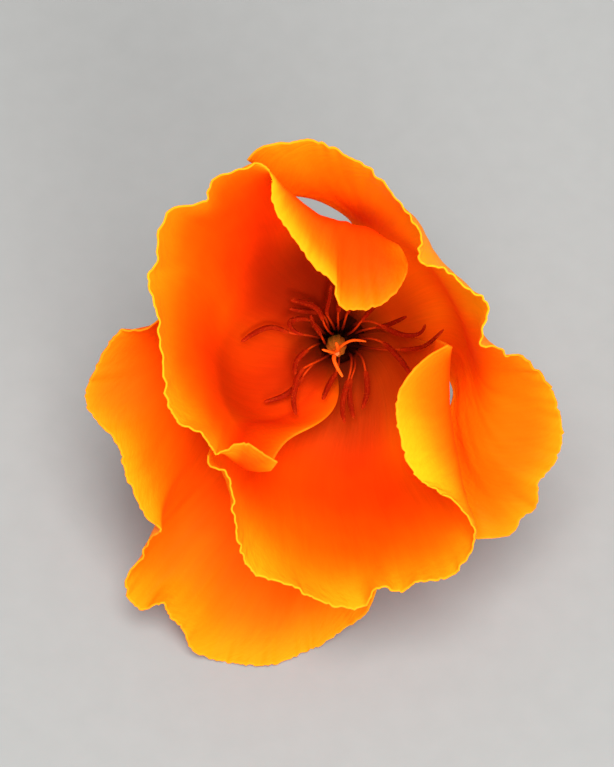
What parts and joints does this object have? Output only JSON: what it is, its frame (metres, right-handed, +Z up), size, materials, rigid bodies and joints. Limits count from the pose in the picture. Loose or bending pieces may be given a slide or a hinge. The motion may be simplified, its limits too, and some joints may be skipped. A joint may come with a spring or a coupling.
{
  "type": "poppy flower",
  "caption": "Open California poppy bloom picked with a short bent stem: overlapping ruffled petals around a tuft of stamens and a slender pistil, lying on its side.",
  "frame": {"origin": "centre of the bounding box, on the surface that the flower lies on", "axes": "+Z up; the bloom opens upwards and towards -Y, and the stem trails behind it towards +Y"},
  "size_m": [0.0536, 0.0586, 0.0512],
  "materials": {
    "inner_petal": "satiny deep orange petal tissue, yellow at the rim",
    "outer_petal": "satiny orange petal tissue, yellow at the rim",
    "stamen": "dark red matt pollen sacs on orange filaments",
    "pistil": "olive ribbed ovary with orange thread-like stigma lobes",
    "stem": "smooth pale green plant tissue with a reddish rim"
  },
  "bodies": {
    "root": {"petal_inner_left": "inner_petal", "petal_inner_front": "inner_petal", "petal_outer_left": "outer_petal", "petal_outer_right": "outer_petal", "stamen_01": "stamen", "stamen_02": "stamen", "stamen_03": "stamen", "stamen_04": "stamen", "stamen_05": "stamen", "stamen_06": "stamen", "stamen_07": "stamen", "stamen_08": "stamen", "stamen_09": "stamen", "stamen_10": "stamen", "stamen_11": "stamen", "stamen_12": "stamen", "stamen_13": "stamen", "stamen_14": "stamen", "stamen_15": "stamen", "stamen_16": "stamen", "stamen_17": "stamen", "stamen_18": "stamen", "stamen_19": "stamen", "stamen_20": "stamen", "pistil": "pistil", "stem_and_receptacle": "stem"}
  },
  "joints": []
}
